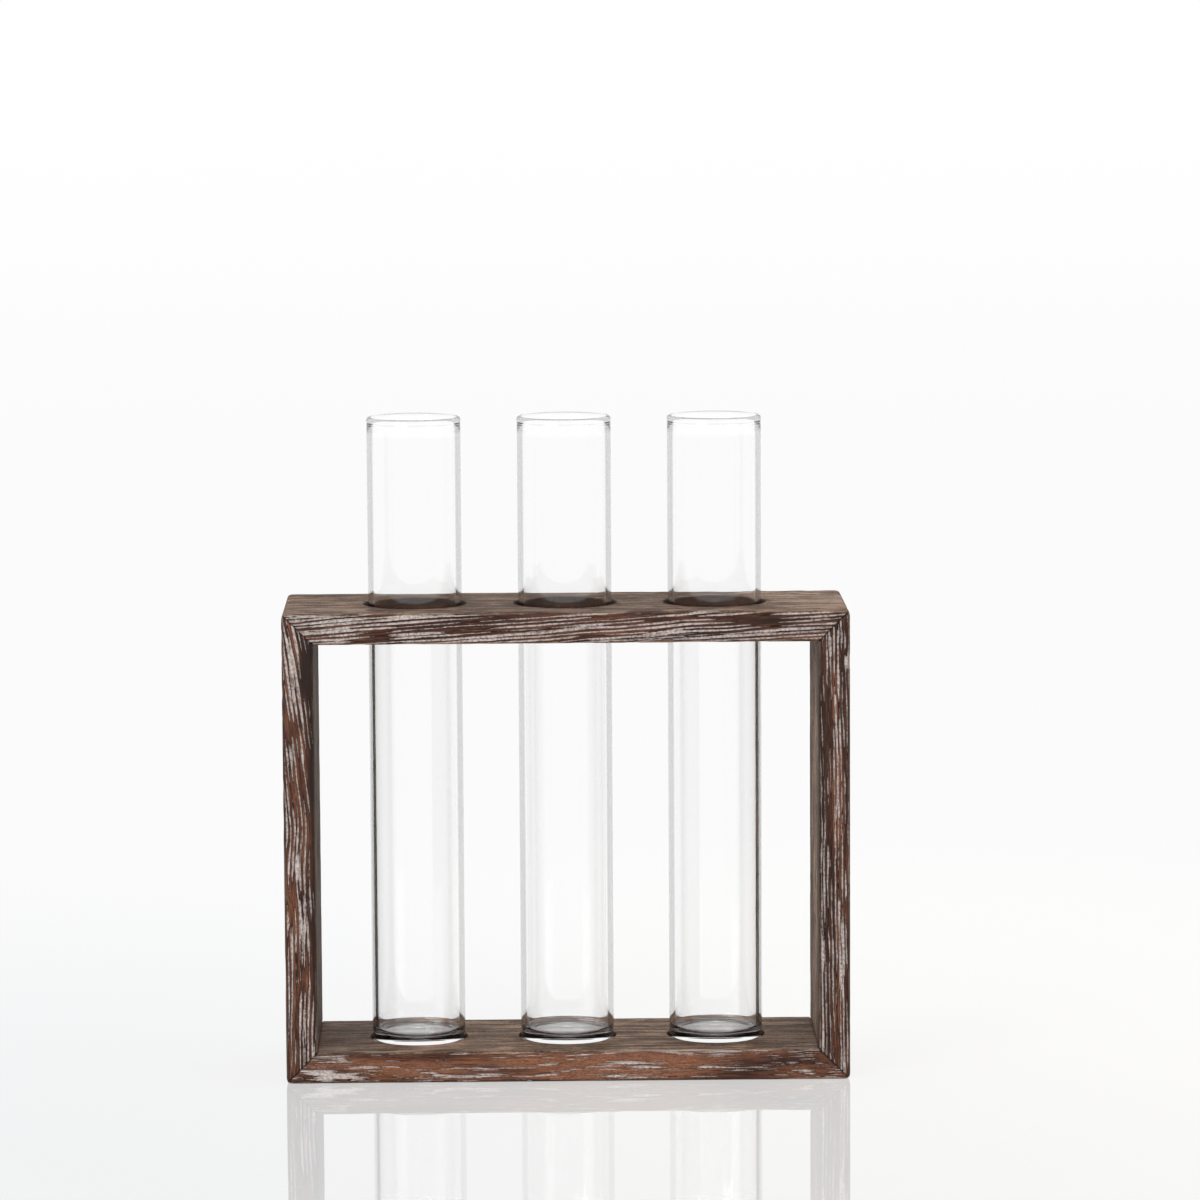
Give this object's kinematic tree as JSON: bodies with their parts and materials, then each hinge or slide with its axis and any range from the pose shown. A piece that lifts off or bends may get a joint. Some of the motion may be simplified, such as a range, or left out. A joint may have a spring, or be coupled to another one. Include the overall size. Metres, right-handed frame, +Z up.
{
  "type": "hydroponic vase",
  "caption": "Hydroponic vase: open rustic wooden box frame with mitred corners, holding clear flat-bottomed glass tubes upright in holes of the top rail and recesses of the bottom rail.",
  "frame": {"origin": "on the surface it stands on, under the middle of the wooden frame", "axes": "+X to the right seen from the front, +Y to the back, +Z up along the tubes"},
  "size_m": [0.18, 0.055, 0.211],
  "materials": {
    "rustic_wood": "torched and wire-brushed softwood, stained dark reddish brown, with off-white wash left in the grooves of the grain",
    "clear_glass": "clear drawn tube glass, fire-polished lip, thick pressed foot",
    "brad_steel": "bright galvanised brad wire, a little dull"
  },
  "bodies": {
    "frame": {"top_rail": "rustic_wood", "bottom_rail": "rustic_wood", "left_stile": "rustic_wood", "right_stile": "rustic_wood", "brad_top_left_front": "brad_steel", "brad_top_left_back": "brad_steel", "brad_top_right_front": "brad_steel", "brad_top_right_back": "brad_steel", "brad_bottom_left_front": "brad_steel", "brad_bottom_left_back": "brad_steel", "brad_bottom_right_front": "brad_steel", "brad_bottom_right_back": "brad_steel"},
    "tube_1": {"glass_tube_1": "clear_glass"},
    "tube_2": {"glass_tube_2": "clear_glass"},
    "tube_3": {"glass_tube_3": "clear_glass"}
  },
  "joints": [
    {"name": "tube_1_lift", "type": "slide", "parent": "frame", "child": "tube_1", "axis": [0, 0, 1], "range_m": [0, 0.15]},
    {"name": "tube_2_lift", "type": "slide", "parent": "frame", "child": "tube_2", "axis": [0, 0, 1], "range_m": [0, 0.15]},
    {"name": "tube_3_lift", "type": "slide", "parent": "frame", "child": "tube_3", "axis": [0, 0, 1], "range_m": [0, 0.15]}
  ]
}
